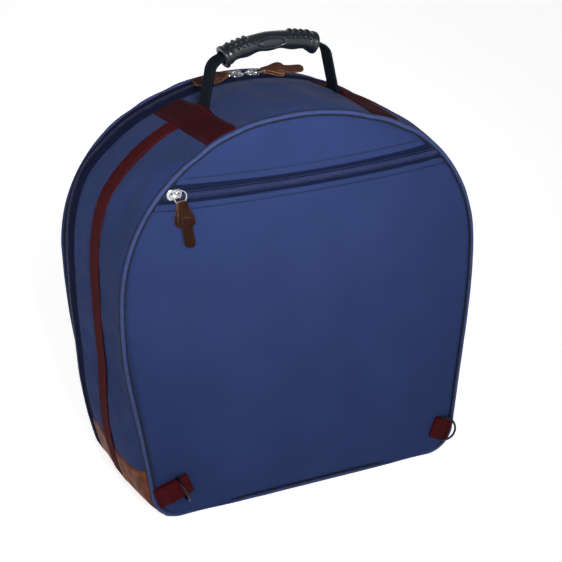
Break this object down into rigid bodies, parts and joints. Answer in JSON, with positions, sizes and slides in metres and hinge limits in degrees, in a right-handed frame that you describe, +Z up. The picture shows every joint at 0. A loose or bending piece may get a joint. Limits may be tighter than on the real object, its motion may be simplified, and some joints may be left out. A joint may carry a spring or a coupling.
{
  "type": "flight bag",
  "caption": "Round-topped padded fabric bag with a zipped lid, zipped back pocket, moulded handle, leather base, webbing straps and two strap rings.",
  "frame": {"origin": "on the floor, at the middle of the bag's base", "axes": "+X to the right seen from the pocket side, +Y out of the lid, -Y out of the pocket side, +Z up"},
  "size_m": [0.42, 0.2218, 0.504],
  "materials": {
    "navy_cover": "matte",
    "navy_zip_tape": "matte",
    "black_lining": "matte",
    "wall_foam": "matte",
    "blue_piping": "satin",
    "burgundy_webbing": "matte",
    "burgundy_patch": "matte",
    "black_webbing": "matte",
    "seam_binding": "matte",
    "brown_leather": "satin",
    "pull_leather": "satin",
    "zip_coil": "satin",
    "silver_metal": "satin",
    "dark_metal": "satin",
    "grip_rubber": "matte",
    "base_board_plastic": "matte"
  },
  "bodies": {
    "bag": {"back_panel_foam": "wall_foam", "back_panel_lining": "black_lining", "back_piping": "blue_piping", "back_seam_binding": "seam_binding", "pocket_back_wall": "black_lining", "pocket_top_panel": "navy_cover", "pocket_front_panel": "navy_cover", "pocket_zip_tape_upper": "navy_zip_tape", "pocket_zip_tape_lower": "navy_zip_tape", "pocket_zip_coil": "zip_coil", "gusset_fabric": "navy_cover", "gusset_foam": "wall_foam", "gusset_lining": "black_lining", "base_foam": "wall_foam", "base_leather": "brown_leather", "base_board": "base_board_plastic", "hinge_strip": "brown_leather", "side_strap": "burgundy_webbing", "body_zip_tape": "navy_zip_tape", "body_zip_coil": "zip_coil", "main_zip_stops": "silver_metal", "handle_patch_left": "burgundy_patch", "handle_anchor_left": "black_webbing", "strap_tab_left": "burgundy_webbing", "handle_patch_right": "burgundy_patch", "handle_anchor_right": "black_webbing", "strap_tab_right": "burgundy_webbing"},
    "lid": {"lid_zip_tape": "navy_zip_tape", "lid_zip_coil": "zip_coil", "lid_cover": "navy_cover", "lid_foam": "wall_foam", "lid_lining": "black_lining", "lid_rim_foam": "wall_foam", "lid_rim_lining": "black_lining", "lid_seam_binding": "seam_binding", "lid_piping": "blue_piping"},
    "handle": {"handle_webbing": "black_webbing", "handle_grip": "grip_rubber"},
    "pocket_slider": {"pocket_zip_slider": "silver_metal"},
    "pocket_ring": {"pocket_zip_ring": "silver_metal"},
    "pocket_pull": {"pocket_zip_pull": "pull_leather"},
    "slider_left": {"zip_slider_left": "silver_metal"},
    "ring_left": {"zip_ring_left": "silver_metal"},
    "pull_left": {"zip_pull_left": "pull_leather"},
    "strap_ring_left": {"d_ring_left": "dark_metal"},
    "slider_right": {"zip_slider_right": "silver_metal"},
    "ring_right": {"zip_ring_right": "silver_metal"},
    "pull_right": {"zip_pull_right": "pull_leather"},
    "strap_ring_right": {"d_ring_right": "dark_metal"}
  },
  "joints": [
    {"name": "lid_hinge", "type": "hinge", "parent": "bag", "child": "lid", "pos_m": [0, 0.0968, 0.0022], "axis": [-1, 0, 0], "range_deg": [0, 90]},
    {"name": "handle_swing", "type": "hinge", "parent": "bag", "child": "handle", "pos_m": [0, -0.01, 0.4375], "axis": [1, 0, 0], "range_deg": [-70, 70]},
    {"name": "left_slider_travel", "type": "hinge", "parent": "bag", "child": "slider_left", "pos_m": [0, 0.07, 0.1655], "axis": [0, -1, 0], "range_deg": [0, 18.5]},
    {"name": "right_slider_travel", "type": "hinge", "parent": "bag", "child": "slider_right", "pos_m": [0, 0.07, 0.1655], "axis": [0, 1, 0], "range_deg": [0, 15.5]},
    {"name": "left_ring_turn", "type": "hinge", "parent": "slider_left", "child": "ring_left", "pos_m": [-0.00191, 0.07, 0.43944], "axis": [0, 1, 0], "range_deg": [0, 100]},
    {"name": "right_ring_turn", "type": "hinge", "parent": "slider_right", "child": "ring_right", "pos_m": [0.01768, 0.07, 0.43888], "axis": [0, -1, 0], "range_deg": [0, 100]},
    {"name": "left_pull_turn", "type": "hinge", "parent": "ring_left", "child": "pull_left", "pos_m": [-0.01491, 0.07, 0.43935], "axis": [0, 1, 0], "range_deg": [0, 80]},
    {"name": "right_pull_turn", "type": "hinge", "parent": "ring_right", "child": "pull_right", "pos_m": [0.03065, 0.07, 0.43804], "axis": [0, -1, 0], "range_deg": [0, 80]},
    {"name": "pocket_slider_travel", "type": "slide", "parent": "bag", "child": "pocket_slider", "axis": [1, 0, 0], "range_m": [0, 0.29]},
    {"name": "pocket_ring_turn", "type": "hinge", "parent": "pocket_slider", "child": "pocket_ring", "pos_m": [-0.148, -0.1022, 0.3725], "axis": [0, 0, -1], "range_deg": [0, 80]},
    {"name": "pocket_pull_turn", "type": "hinge", "parent": "pocket_ring", "child": "pocket_pull", "pos_m": [-0.1415, -0.1022, 0.3621], "axis": [-1, 0, 0], "range_deg": [0, 90]},
    {"name": "left_strap_ring_turn", "type": "hinge", "parent": "bag", "child": "strap_ring_left", "pos_m": [-0.15571, -0.1007, 0.03846], "axis": [-0.3502, 0, 0.9367], "range_deg": [-70, 70]},
    {"name": "right_strap_ring_turn", "type": "hinge", "parent": "bag", "child": "strap_ring_right", "pos_m": [0.16695, -0.1007, 0.03425], "axis": [-0.3502, 0, -0.9367], "range_deg": [0, 142]}
  ]
}
